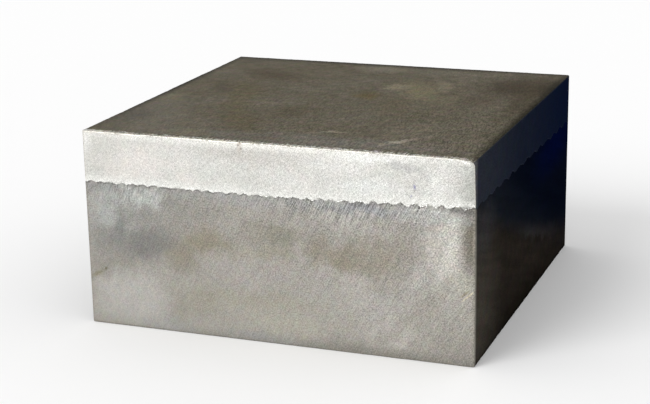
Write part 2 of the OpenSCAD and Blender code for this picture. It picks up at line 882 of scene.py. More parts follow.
class SandingMarks(Effect):
    """Long thin scratches in one direction, slightly bent, from 0 to 1."""

    title = "Sanding marks"
    takes = {
        "Position": Kind.VECTOR,
        "Slope": Kind.NUMBER,
        "Spacing": Kind.NUMBER,
        "Length": Kind.NUMBER,
    }
    gives = {"Marks": Kind.NUMBER}

    @staticmethod
    def draw(graph: Graph, given: dict[str, Socket]) -> tuple[Socket, ...]:
        """Draw the scratches.

        Args:
            graph: The group's graph.
            given: Position, Slope in radians, Spacing and Length in millimetres.

        Returns:
            The scratches.
        """
        bend = graph.noise(given["Position"], 0.05, detail=1.0)
        bent = graph.vector("ADD", given["Position"], graph.join(bend, bend, 0.0))
        level = graph.turned(bent, given["Slope"])
        along = graph.math("DIVIDE", 1.0, given["Length"])
        across = graph.math("DIVIDE", 1.0, given["Spacing"])
        drawn = graph.vector("MULTIPLY", level, graph.join(along, across, along))
        return (graph.fade(graph.noise(drawn, 1.0, detail=1.0, rough=0.5), -0.5, 0.5),)


class SoftPatch(Effect):
    """A soft-edged oval patch at one place, 1 in its middle and 0 outside."""

    title = "Soft patch"
    takes = {
        "Position": Kind.VECTOR,
        "Centre": Kind.VECTOR,
        "Reach": Kind.VECTOR,
        "Turn": Kind.NUMBER,
        "Softness": Kind.NUMBER,
    }
    gives = {"Mask": Kind.NUMBER}

    @staticmethod
    def draw(graph: Graph, given: dict[str, Socket]) -> tuple[Socket, ...]:
        """Draw the patch.

        Args:
            graph: The group's graph.
            given: Position, Centre and Reach in millimetres, Turn in radians, Softness from 0 to 1.

        Returns:
            The patch's mask.
        """
        offset = graph.vector("SUBTRACT", given["Position"], given["Centre"])
        level = graph.turned(offset, given["Turn"])
        away = graph.length(graph.vector("DIVIDE", level, given["Reach"]))
        outer = graph.math("ADD", 1.0, graph.math("MULTIPLY", given["Softness"], 0.4))
        inner = graph.math("SUBTRACT", 1.0, given["Softness"])
        return (graph.fade(away, outer, inner),)


class EdgeWear(Effect):
    """Ragged band along the broken outer edges, from 0 to 1."""

    title = "Edge wear"
    takes = {"Position": Kind.VECTOR, "Near": Kind.NUMBER, "Reach": Kind.NUMBER}
    gives = {"Mask": Kind.NUMBER}

    @staticmethod
    def draw(graph: Graph, given: dict[str, Socket]) -> tuple[Socket, ...]:
        """Draw the band.

        Args:
            graph: The group's graph.
            given: Position, Near and Reach in millimetres.

        Returns:
            The band's mask.
        """
        chips = graph.noise(given["Position"], 0.9, detail=3.0, rough=0.7)
        spread = graph.math("MULTIPLY_ADD", chips, 0.45, 1.0)
        reach = graph.math("MULTIPLY", given["Reach"], spread)
        return (graph.fade(given["Near"], reach, 0.0),)


class BondTrace(Effect):
    """A hairline at the bond, the softer band beside it and metal smeared over it, from 0 to 1."""

    title = "Bond trace"
    takes = {
        "Position": Kind.VECTOR,
        "Gap": Kind.NUMBER,
        "Width": Kind.NUMBER,
        "Reach": Kind.NUMBER,
        "Smear": Kind.NUMBER,
    }
    gives = {"Line": Kind.NUMBER, "Band": Kind.NUMBER, "Smear": Kind.NUMBER}

    @staticmethod
    def draw(graph: Graph, given: dict[str, Socket]) -> tuple[Socket, ...]:
        """Draw the line, the band and the smear.

        Args:
            graph: The group's graph.
            given: Position, Gap from the bond, Width of the line, Reach of the band, and how
                far the Smear reaches, below 0 on the plate where it is the other way round.

        Returns:
            The line, the band and the smear.
        """
        place, gap = given["Position"], given["Gap"]
        uneven = graph.noise(place, 0.55, detail=2.0, rough=0.6)
        width = graph.math("MULTIPLY", given["Width"], graph.math("MULTIPLY_ADD", uneven, 0.7, 1.0))
        broken = graph.fade(uneven, -0.5, 0.35)
        line = graph.math("MULTIPLY", graph.fade(gap, width, 0.0), broken)
        soft = graph.noise(place, 0.3, detail=3.0, rough=0.65)
        reach = graph.math("MULTIPLY", given["Reach"], graph.math("MULTIPLY_ADD", soft, 0.5, 1.0))
        band = graph.fade(gap, reach, 0.0)
        along = graph.fade(graph.split(place)["X"], -2.0 * HALF_FACE, 1.2 * HALF_FACE)
        torn = graph.noise(place, 1.3, detail=3.0, rough=0.7)
        over = graph.math("MULTIPLY", torn, graph.math("MULTIPLY", given["Smear"], along))
        crisp = 0.06
        smear = graph.fade(graph.math("SUBTRACT", over, gap), 0.0, crisp)
        return line, band, smear


# ---------------------------------------------------------------- finishes


class FacePlane(Enum):
    """Which two of x, y and z a face's pattern is laid out in, then the third."""

    UPRIGHT_FRONT = ("X", "Z", "Y")
    UPRIGHT_SIDE = ("Y", "Z", "X")
    LEVEL = ("X", "Y", "Z")


class Outline(Enum):
    """How a patch's outline drifts: how far, and over what length, both in millimetres."""

    PLAIN = (0.0, 1.0)
    SMOKY = (9.0, 5.0)
    TORN = (1.1, 0.7)
    RAGGED = (9.0, 0.8)


@dataclass(frozen=True)
class Oval:
    """A soft oval place on a face, in millimetres on that face.

    Attributes:
        centre: Its middle.
        reach: Half its size along its two directions.
        turn: How far it is turned, in degrees.
        softness: How soft its outline is, from 0 to 1.
    """

    centre: tuple[float, float]
    reach: tuple[float, float]
    turn: float = 0.0
    softness: float = 1.0


@dataclass(frozen=True)
class Patch:
    """A soft stain or bright place on a face, in millimetres on that face.

    Attributes:
        centre: Its middle.
        reach: Half its size along its two directions.
        colour: Its colour.
        strength: How much of that colour its middle has.
        turn: How far it is turned, in degrees.
        softness: How soft its outline is, from 0 to 1.
        outline: How its outline drifts.
    """

    centre: tuple[float, float]
    reach: tuple[float, float]
    colour: Colour
    strength: float = 0.7
    turn: float = 0.0
    softness: float = 0.8
    outline: Outline = Outline.SMOKY

    @property
    def oval(self) -> Oval:
        """The place that the patch covers."""
        return Oval(self.centre, self.reach, self.turn, self.softness)


@dataclass(frozen=True)
class EvenPatch(Patch):
    """A patch whose outline doesn't drift."""

    outline: Outline = Outline.PLAIN


@dataclass(frozen=True)
class Wash(EvenPatch):
    """A patch that fades evenly from its middle."""

    softness: float = 1.0


@dataclass(frozen=True)
class TornPatch(Patch):
    """A patch with a finely torn outline."""

    outline: Outline = Outline.TORN


@dataclass(frozen=True)
class Marks:
    """A field of parallel sanding marks, in millimetres on a face.

    Attributes:
        slope: Their direction, in degrees from level.
        spacing: How far apart they are.
        length: How long they are.
        light: How much they lighten and darken the metal.
        depth: How deep they are.
        inside: The place where they are, or None where they are all over.
    """

    slope: float
    spacing: float
    length: float
    light: float
    depth: float = 0.0
    inside: Oval | None = None


@dataclass(frozen=True)
class Grain:
    """How a surface varies all over.

    Attributes:
        size: Size of the grain, in millimetres.
        light: How much the grain lightens and darkens the metal.
        depth: Depth of the grain, in millimetres.
        cloud_size: Size of the small clouds, in millimetres.
        cloud: How strong they are.
        mottle_size: Size of the wide mottling, in millimetres.
        mottle: How strong the mottling is.
        tinge: How far the clouds tinge the metal red, green or blue.
        growth: How much stronger the grain and the marks get over half a face, to the right and up.
    """

    size: float = 0.5
    light: float = 0.12
    depth: float = 0.004
    cloud_size: float = 2.2
    cloud: float = 0.3
    mottle_size: float = 14.0
    mottle: float = 0.5
    tinge: float = 0.16
    growth: tuple[float, float] = (0.0, 0.0)


@dataclass(frozen=True)
class Band:
    """A band of another colour, along an edge or beside the bond.

    Attributes:
        colour: Its colour.
        reach: Its width, in millimetres.
        strength: How much of that colour it has.
    """

    colour: Colour = (0.5, 0.5, 0.5)
    reach: float = 0.5
    strength: float = 0.0


@dataclass(frozen=True)
class MetalFinish:
    """Finish of one or more faces of a plate.

    Attributes:
        name: Name of the material.
        plane: How the pattern is laid out.
        ground: The usual colour.
        tints: Colours of the mottling, first where it is high, then where it is low.
        grain: How the surface varies all over.
        marks: Sanding marks.
        patches: Stains and bright places.
        spots: Small marks that lie over everything else.
        edge: The worn outer edges.
        line: The hairline at the bond.
        band: The metal beside the bond.
        smear: The other plate's metal, smeared over the bond, and this plate's own where it is not.
        corner: The ground-off corner.
        roughness: The usual roughness.
        roughness_spread: How much the grain changes it.
        grazing: Colour that dulls the gloss at a low angle, as a thin dull skin does.
        shaded_as_metal: Whether it is shaded as bare metal, or as a matt surface without gloss
            whose dark colour holds painted shade and painted reflection.
    """

    name: str
    plane: FacePlane
    ground: Colour
    tints: tuple[Colour, Colour]
    grain: Grain = Grain()
    marks: tuple[Marks, ...] = ()
    patches: tuple[Patch, ...] = ()
    spots: tuple[Patch, ...] = ()
    edge: Band = Band()
    line: Band = Band()
    band: Band = Band()
    smear: Band = Band()
    corner: Band = Band()
    roughness: float = 0.42
    roughness_spread: float = 0.04
    grazing: Colour = (1.0, 1.0, 1.0)
    shaded_as_metal: bool = True

    def material(self) -> bpy.types.Material:
        """Make the material, or find it where another face has it already.

        Returns:
            The material.
        """
        known = bpy.data.materials.get(self.name)
        if known is not None:
            return known
        made = bpy.data.materials.new(self.name)
        made.use_nodes = True
        graph = Graph(made.node_tree)
        shader = made.node_tree.nodes["Principled BSDF"]
        place = self._place(graph)
        grain = graph.group(
            MetalGrain.tree(),
            Position=place,
            Grain_Size=self.grain.size,
            Cloud_Size=self.grain.cloud_size,
            Mottle_Size=self.grain.mottle_size,
        )
        fine = grain.outputs["Grain"]
        colour = self._mottled(graph, grain)
        colour = self._stained(graph, place, colour, self.patches)
        colour = self._tinged(graph, grain, colour)
        colour = self._traced(graph, place, colour)
        colour = self._stained(graph, place, colour, self.spots)
        light, height = self._relief(graph, place, fine)
        graph.put(shader.inputs["Base Color"], graph.vector("SCALE", colour, light))
        rough = graph.math("MULTIPLY_ADD", fine, self.roughness_spread, self.roughness)
        graph.put(shader.inputs["Roughness"], rough)
        graph.put(shader.inputs["Normal"], self._bumped(graph, height))
        shader.inputs["Metallic"].default_value = 1.0 if self.shaded_as_metal else 0.0
        shader.inputs["Specular IOR Level"].default_value = 0.5 if self.shaded_as_metal else 0.0
        shader.inputs["Specular Tint"].default_value = (*self.grazing, 1.0)
        return made

    def _place(self, graph: Graph) -> Socket:
        """Position on the face in millimetres, with the face's own two directions first.

        Args:
            graph: The material's graph.

        Returns:
            The position.
        """
        where = graph.add("ShaderNodeTexCoord").outputs["Object"]
        parts = graph.split(graph.vector("SCALE", where, PER_METRE))
        return graph.join(*(parts[axis] for axis in self.plane.value))

    def _mottled(self, graph: Graph, grain: bpy.types.Node) -> Socket:
        """Ground colour with its mottling.

        Args:
            graph: The material's graph.
            grain: The metal grain.

        Returns:
            The colour.
        """
        full = 0.9
        wide = graph.math("MULTIPLY", grain.outputs["Mottle"], self.grain.mottle)
        both = graph.math("MULTIPLY_ADD", grain.outputs["Clouds"], self.grain.cloud, wide)
        colour = graph.mix(graph.fade(both, 0.0, full), self.ground, self.tints[0])
        return graph.mix(graph.fade(both, 0.0, -full), colour, self.tints[1])

    def _tinged(self, graph: Graph, grain: bpy.types.Node, colour: Socket) -> Socket:
        """Add the faint tinge.

        Args:
            graph: The material's graph.
            grain: The metal grain.
            colour: The colour so far.

        Returns:
            The tinged colour.
        """
        weakest = 1.0 - 0.5 * self.grain.tinge
        faint = graph.vector("SCALE", grain.outputs["Tinge"], self.grain.tinge)
        faint = graph.vector("ADD", faint, (weakest, weakest, weakest))
        return graph.vector("MULTIPLY", colour, faint)

    def _stained(
        self, graph: Graph, place: Socket, colour: Socket, patches: tuple[Patch, ...]
    ) -> Socket:
        """Add stains and bright places.

        Args:
            graph: The material's graph.
            place: Position on the face.
            colour: The colour so far.
            patches: The stains and bright places.

        Returns:
            The colour with the patches.
        """
        drifted = {
            outline: self._drifted(graph, place, outline)
            for outline in Outline
            if any(patch.outline is outline for patch in patches)
        }
        for patch in patches:
            mask = self._masked(graph, drifted[patch.outline], patch.oval)
            share = graph.math("MULTIPLY", mask, patch.strength)
            colour = graph.mix(share, colour, patch.colour)
        return colour

    @staticmethod
    def _masked(graph: Graph, place: Socket, oval: Oval) -> Socket:
        """Mask of one soft oval place.

        Args:
            graph: The material's graph.
            place: Position on the face.
            oval: Where the place is.

        Returns:
            The mask, from 0 to 1.
        """
        spot = graph.group(
            SoftPatch.tree(),
            Position=place,
            Centre=(*oval.centre, 0.0),
            Reach=(*oval.reach, ANY_DEPTH),
            Turn=math.radians(oval.turn),
            Softness=oval.softness,
        )
        return spot.outputs["Mask"]

    @staticmethod
    def _drifted(graph: Graph, place: Socket, outline: Outline) -> Socket:
        """Position that drifts as an outline does.

        Args:
            graph: The material's graph.
            place: Position on the face.
            outline: The way the outline drifts.

        Returns:
            The drifted position.
        """
        far, size = outline.value
        noise = graph.add("ShaderNodeTexNoise")
        graph.put(noise.inputs["Vector"], place)
        graph.put(noise.inputs["Scale"], 1.0 / size)
        graph.put(noise.inputs["Detail"], 5.0)
        graph.put(noise.inputs["Roughness"], 0.65)
        centred = graph.vector("SUBTRACT", noise.outputs["Color"], (0.5, 0.5, 0.5))
        return graph.vector("ADD", place, graph.vector("MULTIPLY", centred, (far, far, 0.0)))

    def _relief(self, graph: Graph, place: Socket, fine: Socket) -> tuple[Socket, Socket]:
        """Lightness and height of the grain and the sanding marks.

        Args:
            graph: The material's graph.
            place: Position on the face.
            fine: The fine grain, round 0.

        Returns:
            The factor for the colour, and the height in millimetres.
        """
        light = graph.math("MULTIPLY", fine, self.grain.light)
        height = graph.math("MULTIPLY", fine, self.grain.depth)
        for mark in self.marks:
            scratched = graph.group(
                SandingMarks.tree(),
                Position=place,
                Slope=math.radians(mark.slope),
                Spacing=mark.spacing,
                Length=mark.length,
            )
            lines = graph.math("SUBTRACT", scratched.outputs["Marks"], 0.5)
            if mark.inside is not None:
                lines = graph.math("MULTIPLY", lines, self._masked(graph, place, mark.inside))
            light = graph.math("MULTIPLY_ADD", lines, mark.light, light)
            height = graph.math("MULTIPLY_ADD", lines, -mark.depth, height)
        return graph.math("MULTIPLY_ADD", light, self._strength(graph, place), 1.0), height

    def _strength(self, graph: Graph, place: Socket) -> Socket:
        """How strong the grain and the marks are at each place, round 1.

        Args:
            graph: The material's graph.
            place: Position on the face.

        Returns:
            The strength.
        """
        parts = graph.split(place)
        right, up = (growth / HALF_FACE for growth in self.grain.growth)
        middle = 0.0 if self.plane is FacePlane.LEVEL else 0.5 * HALF_FACE
        across = graph.math("MULTIPLY_ADD", parts["X"], right, 1.0 - up * middle)
        return graph.math("MULTIPLY_ADD", parts["Y"], up, across)

    def _traced(self, graph: Graph, place: Socket, colour: Socket) -> Socket:
        """Add the worn edges, the ground corner and the trace of the bond.

        Args:
            graph: The material's graph.
            place: Position on the face.
            colour: The colour so far.

        Returns:
            The finished colour.
        """
        near, gap, corner = (
            graph.add("ShaderNodeAttribute", attribute_name=name).outputs["Fac"]
            for name in ("edge_near", "bond_gap", "corner_near")
        )
        trace = graph.group(
            BondTrace.tree(),
            Position=place,
            Gap=gap,
            Width=self.line.reach,
            Reach=self.band.reach,
            Smear=self.smear.reach,
        )
        wear = graph.group(EdgeWear.tree(), Position=place, Near=near, Reach=self.edge.reach)
        ground = graph.group(EdgeWear.tree(), Position=place, Near=corner, Reach=self.corner.reach)
        for mask, band in (
            (trace.outputs["Band"], self.band),
            (wear.outputs["Mask"], self.edge),
            (trace.outputs["Line"], self.line),
            (trace.outputs["Smear"], self.smear),
            (ground.outputs["Mask"], self.corner),
        ):
            if band.strength > 0.0:
                colour = graph.mix(graph.math("MULTIPLY", mask, band.strength), colour, band.colour)
        return colour

    def _bumped(self, graph: Graph, height: Socket) -> Socket:
        """Normal of the fine relief.

        Args:
            graph: The material's graph.
            height: The height, in millimetres.

        Returns:
            The normal.
        """
        bump = graph.add("ShaderNodeBump")
        bump.inputs["Strength"].default_value = 1.0
        bump.inputs["Distance"].default_value = MM
        graph.put(bump.inputs["Height"], height)
        return bump.outputs["Normal"]


CLADDING_FRONT = MetalFinish(
    name="sanded_cladding",
    plane=FacePlane.UPRIGHT_FRONT,
    ground=tone(214, 213, 208),
    tints=(tone(224, 220, 215), tone(204, 206, 201)),
    grain=Grain(
        size=0.21,
        light=0.34,
        depth=0.006,
        cloud_size=2.4,
        cloud=0.3,
        mottle_size=12.0,
        mottle=0.5,
        tinge=0.05,
        growth=(0.2, 0.0),
    ),
    marks=(
        Marks(slope=50.0, spacing=0.2, length=1.0, light=0.14, depth=0.004),
        Marks(slope=-40.0, spacing=0.22, length=1.0, light=0.12, depth=0.004),
        Marks(slope=42.0, spacing=0.5, length=5.0, light=0.05),
    ),
    patches=(
        # Duller places.
        Patch((-46.0, 46.0), (8.0, 5.0), tone(205, 203, 197), 0.6),
        Patch((-45.0, 40.0), (6.0, 4.0), tone(206, 203, 197), 0.5),
        Patch((-6.0, 40.5), (6.0, 3.0), tone(207, 207, 201), 0.5),
        # Bright left edge.
        EvenPatch((-50.0, 47.8), (2.4, 4.0), tone(234, 234, 230), 0.85),
        EvenPatch((-50.0, 43.0), (0.9, 4.0), tone(234, 233, 228), 0.3),
        # Duller and brighter places, roughly from left to right.
        Patch((-49.5, 38.8), (5.5, 3.2), tone(198, 198, 192), 0.65),
        Patch((-36.0, 42.0), (9.0, 5.0), tone(226, 221, 216), 0.65),
        Patch((-15.0, 41.0), (5.0, 4.0), tone(212, 214, 208), 0.3),
        Patch((-7.0, 46.8), (14.0, 2.8), tone(202, 199, 193), 0.75),
        Patch((6.0, 41.0), (7.0, 3.5), tone(222, 221, 217), 0.6),
        Patch((18.0, 46.0), (9.0, 3.0), tone(228, 227, 223), 0.7),
        Patch((24.0, 40.5), (10.0, 3.0), tone(226, 227, 223), 0.8),
        Patch((33.5, 46.8), (6.0, 1.2), tone(188, 188, 186), 0.7, turn=-12.0),
        Patch((40.8, 42.5), (3.4, 7.0), tone(239, 239, 235), 0.45),
        # Shade towards the right edge, and bright metal low beside it.
        Wash((50.5, 41.0), (4.8, 13.0), tone(172, 175, 168), 0.88),
        Patch((41.0, 38.2), (7.5, 1.6), tone(238, 239, 234), 0.7),
        # Painted highlight along the upper edge, duller at its left end.
        TornPatch((0.0, 49.6), (66.0, 1.3), tone(238, 237, 231), 0.9, softness=1.0),
        Patch((24.0, 49.0), (11.0, 1.7), tone(241, 241, 237), 0.8),
        TornPatch((-43.0, 50.0), (8.5, 0.7), tone(212, 204, 192), 0.5),
    ),
    spots=(
        # Painted shadow at the right end of the bond, which also makes the bond's line look higher
        # there.
        TornPatch((48.8, 38.3), (3.0, 0.8), tone(142, 142, 138), 0.85, turn=-3.0),
        # Small violet mark.
        TornPatch((35.5, 42.6), (0.35, 0.7), tone(132, 130, 164), 0.8, turn=14.0),
        TornPatch((34.7, 40.3), (0.25, 0.3), tone(150, 148, 176), 0.8),
        # Brown nick in the upper edge.
        TornPatch((-8.0, 48.7), (0.8, 2.2), tone(198, 192, 184), 0.8),
        TornPatch((-7.8, 49.8), (0.6, 0.45), tone(146, 136, 126), 0.8),
        TornPatch((-8.2, 49.2), (0.25, 0.25), tone(140, 132, 122), 0.8),
        TornPatch((-7.6, 48.4), (0.25, 0.4), tone(156, 150, 142), 0.8),
        # Dark rim of the upper edge.
        TornPatch((0.0, 50.1), (90.0, 0.26), tone(112, 107, 96), 0.9),
        # Dark chips in the left edge.
        EvenPatch((-50.0, 46.6), (0.28, 0.5), tone(120, 116, 108), 0.9),
        EvenPatch((-50.0, 44.2), (0.28, 0.4), tone(130, 126, 118), 0.9),
        EvenPatch((-50.0, 42.2), (0.28, 0.4), tone(140, 136, 128), 0.8),
    ),
    edge=Band(tone(206, 203, 195), 0.75, 0.9),
    line=Band(tone(243, 243, 238), 0.8, 0.95),
    band=Band(tone(232, 232, 227), 3.0, 0.75),
    smear=Band(tone(160, 158, 152), -0.4, 1.0),
    corner=Band(tone(150, 146, 132), 1.8, 0.9),
    roughness=0.5,
)

STEEL_FRONT = MetalFinish(
    name="sanded_steel",
    plane=FacePlane.UPRIGHT_FRONT,
    ground=tone(165, 161, 154),
    tints=(tone(173, 167, 163), tone(156, 154, 142)),
    grain=Grain(
        size=0.34,
        light=0.4,
        depth=0.004,
        cloud_size=1.8,
        cloud=0.2,
        mottle_size=13.0,
        mottle=0.4,
        tinge=0.14,
        growth=(0.28, 0.7),
    ),
    marks=(
        # All over the face.
        Marks(slope=54.0, spacing=0.2, length=1.4, light=0.13, depth=0.004),
        Marks(slope=62.0, spacing=0.3, length=5.0, light=0.12, depth=0.003),
        Marks(slope=-42.0, spacing=0.2, length=0.9, light=0.1, depth=0.003),
        Marks(slope=55.0, spacing=2.2, length=9.0, light=0.05),
        # Fine crossing hairs under the bond.
        Marks(
            slope=62.0, spacing=0.15, length=3.0, light=0.62, depth=0.006,
            inside=Oval((17.0, 36.5), (28.0, 5.5)),
        ),
        Marks(
            slope=68.0, spacing=0.36, length=2.4, light=0.44, depth=0.004,
            inside=Oval((-38.0, 35.5), (15.0, 4.5)),
        ),
        Marks(
            slope=124.0, spacing=0.18, length=1.1, light=0.3, depth=0.006,
            inside=Oval((9.0, 36.2), (9.0, 3.0)),
        ),
        # The lower right of the face.
        Marks(
            slope=50.0, spacing=0.26, length=5.0, light=0.13, depth=0.003,
            inside=Oval((37.0, 12.0), (24.0, 20.0)),
        ),
    ),
    patches=(
        # Wide changes: paler under the bond, the lower part painted paler to make up for the dimmer
        # light near the floor, and painted shade at the lower right corner.
        EvenPatch((0.0, 36.8), (60.0, 3.2), tone(165, 165, 162), 0.7),
        Patch((0.0, 6.0), (70.0, 17.0), tone(173, 170, 162), 0.6),
        Patch((50.0, 0.0), (14.0, 9.0), tone(152, 148, 141), 0.6, turn=-30.0),
        # Clouds in the upper left.
        Patch((-41.0, 29.0), (12.0, 9.0), tone(160, 161, 159), 0.5),
        Patch((-44.6, 30.5), (4.4, 5.6), tone(176, 178, 175), 0.65, turn=-20.0),
        Patch((-34.0, 34.2), (7.0, 3.5), tone(184, 186, 182), 0.85, softness=0.7),
        Patch((-42.0, 37.0), (9.0, 0.9), tone(146, 148, 148), 0.5),
        Patch((-19.5, 31.8), (8.0, 5.4), tone(149, 146, 139), 0.6),
        Patch((-26.5, 33.5), (3.6, 4.5), tone(146, 144, 138), 0.6),
        Patch((-45.6, 35.4), (4.5, 2.2), tone(150, 152, 149), 0.7),
        Patch((-45.0, 22.0), (5.5, 5.0), tone(143, 142, 136), 0.75, turn=30.0),
        Patch((-41.8, 26.0), (2.3, 5.5), tone(134, 134, 130), 0.78, turn=-14.0),
        Patch((-33.5, 28.8), (7.5, 3.4), tone(146, 144, 139), 0.55),
        # Darker places below them.
        Patch((-46.5, 15.2), (5.6, 3.5), tone(150, 147, 140), 0.78),
        Patch((-41.0, 16.2), (4.5, 4.8), tone(149, 146, 137), 0.65),
        Patch((-17.0, 17.0), (8.0, 4.0), tone(157, 154, 146), 0.65),
        # The darkest stain, and brownish ones right of it.
        Patch((-33.0, 22.2), (10.4, 4.6), tone(131, 130, 126), 0.9, turn=4.0, softness=0.7),
        Patch((-24.0, 19.5), (4.6, 5.0), tone(142, 135, 119), 0.65, turn=-10.0),
        Patch((-17.5, 24.0), (8.0, 3.6), tone(145, 139, 122), 0.8),
        # Stains across the middle.
        Patch((-4.5, 21.6), (9.0, 3.4), tone(160, 156, 142), 0.7),
        Patch((0.0, 28.0), (9.0, 4.0), tone(150, 146, 134), 0.8),
        Patch((2.5, 27.0), (3.5, 2.6), tone(142, 140, 129), 0.7),
        Patch((1.6, 22.8), (4.6, 2.8), tone(150, 146, 132), 0.65),
        Patch((-25.5, 27.6), (4.0, 3.6), tone(147, 144, 138), 0.5),
        Patch((21.0, 26.2), (5.0, 2.6), tone(146, 140, 124), 0.5),
        Patch((11.0, 24.8), (3.4, 4.0), tone(147, 140, 125), 0.65),
        Patch((18.0, 23.2), (6.0, 3.2), tone(144, 137, 120), 0.7, turn=-12.0),
        Patch((27.0, 22.5), (6.5, 4.0), tone(150, 144, 126), 0.5, turn=15.0),
        Patch((29.0, 26.5), (7.5, 4.5), tone(154, 148, 136), 0.5, turn=20.0),
        # Paler places above them.
        Patch((20.0, 34.0), (8.0, 2.6), tone(176, 173, 168), 0.5),
        Patch((21.5, 31.2), (6.5, 2.2), tone(180, 176, 170), 0.5),
        Patch((1.5, 30.6), (5.5, 1.8), tone(170, 167, 160), 0.5),
        Patch((27.0, 31.0), (5.0, 2.6), tone(172, 168, 160), 0.6),
        # Bright streak beside the dark right edge.
        Patch((44.0, 28.8), (4.4, 13.6), tone(205, 203, 195), 0.95, turn=-6.0, softness=1.0),
        EvenPatch((49.3, 31.0), (2.9, 9.4), tone(116, 111, 99), 0.88, softness=0.9),
        EvenPatch((49.0, 37.4), (4.6, 1.7), tone(110, 106, 100), 0.85),
        Patch((40.0, 28.0), (3.2, 4.8), tone(202, 198, 190), 0.5),
        # Slanting streaks in the lower right, and wider ones round them.
        Patch((37.0, 19.8), (3.4, 4.6), tone(187, 184, 179), 0.55, turn=-35.0),
        Patch((45.8, 21.6), (3.0, 2.6), tone(194, 191, 179), 0.4),
        Patch((24.6, 12.8), (3.4, 3.6), tone(190, 186, 181), 0.6, turn=-35.0),
        Patch((-6.0, 18.0), (15.0, 4.5), tone(172, 167, 162), 0.7),
        Patch((12.5, 18.0), (2.6, 4.0), tone(175, 170, 165), 0.6, turn=-35.0),
        Patch((20.8, 16.5), (4.4, 4.6), tone(183, 178, 172), 0.72, turn=-35.0),
        Patch((27.0, 9.5), (4.2, 7.0), tone(187, 183, 178), 0.75, turn=-35.0),
        Patch((28.0, 12.0), (22.0, 5.0), tone(177, 174, 168), 0.5),
        Patch((32.8, 5.4), (2.4, 4.6), tone(198, 194, 189), 0.85, turn=-35.0),
        Patch((37.5, 12.0), (3.0, 13.0), tone(162, 157, 148), 0.5, turn=-40.0),
        Patch((-4.0, 10.5), (20.0, 2.4), tone(167, 163, 149), 0.6),
        Patch((48.0, 19.5), (3.5, 3.5), tone(186, 184, 172), 0.55, turn=-30.0),
        # Foot of the face.
        Patch((-19.0, 8.5), (7.0, 4.5), tone(158, 154, 140), 0.55),
        Patch((2.0, 5.6), (12.0, 3.4), tone(181, 177, 165), 0.65),
        Patch((19.0, 1.5), (6.0, 2.5), tone(152, 149, 142), 0.5),
        Patch((-38.5, 8.0), (11.0, 7.5), tone(184, 181, 176), 0.85, softness=0.55),
        Patch((-25.6, 4.5), (2.6, 6.0), tone(156, 152, 142), 0.6),
        # Dark lower edge.
        Wash((12.0, 0.0), (48.0, 2.4), tone(138, 136, 129), 0.7),
        Wash((34.0, 0.0), (24.0, 2.4), tone(132, 129, 122), 0.4),
        Patch((-29.0, 1.6), (8.0, 2.6), tone(170, 171, 170), 0.5),
        Patch((-3.0, 1.2), (12.0, 2.0), tone(164, 165, 164), 0.5),
        Patch((50.0, 0.0), (3.0, 3.0), tone(124, 123, 118), 0.5),
        # Pale and dark places along the bond, with painted shadow under its right end.
        Patch((40.0, 36.0), (11.0, 2.6), tone(186, 186, 182), 0.75),
        Patch((23.0, 36.2), (11.0, 1.4), tone(146, 148, 153), 0.6),
        TornPatch((46.4, 37.8), (5.4, 0.8), tone(116, 115, 112), 0.75, turn=-3.0),
        TornPatch((22.0, 37.4), (4.5, 1.1), tone(124, 124, 123), 0.55),
        TornPatch((36.0, 37.2), (2.2, 0.25), tone(206, 206, 202), 0.8, turn=5.0),
        TornPatch((40.5, 37.0), (1.6, 0.25), tone(206, 206, 202), 0.8, turn=-6.0),
        # Worn place in the right edge.
        EvenPatch((50.0, 30.0), (0.8, 4.5), tone(176, 166, 155), 0.6),
        # Rust spot with a faint line.
        TornPatch((-45.4, 14.7), (0.6, 0.4), tone(98, 88, 64), 0.75, turn=30.0, softness=1.0),
        TornPatch((-48.0, 13.1), (3.0, 0.7), tone(130, 122, 98), 0.6, turn=28.0, softness=1.0),
        # Yellowish scratch near the right edge, with its dark side.
        EvenPatch((48.5, 17.5), (0.22, 2.8), tone(206, 198, 164), 0.55, turn=-48.0),
        EvenPatch((47.6, 17.9), (0.3, 2.0), tone(138, 130, 104), 0.6, turn=-48.0),
    ),
    edge=Band(tone(146, 142, 132), 1.0, 0.5),
    line=Band(tone(104, 103, 101), 0.6, 0.8),
    band=Band(tone(150, 147, 142), 1.2, 0.2),
    smear=Band(tone(234, 234, 229), 0.6, 1.0),
    roughness=0.45,
)

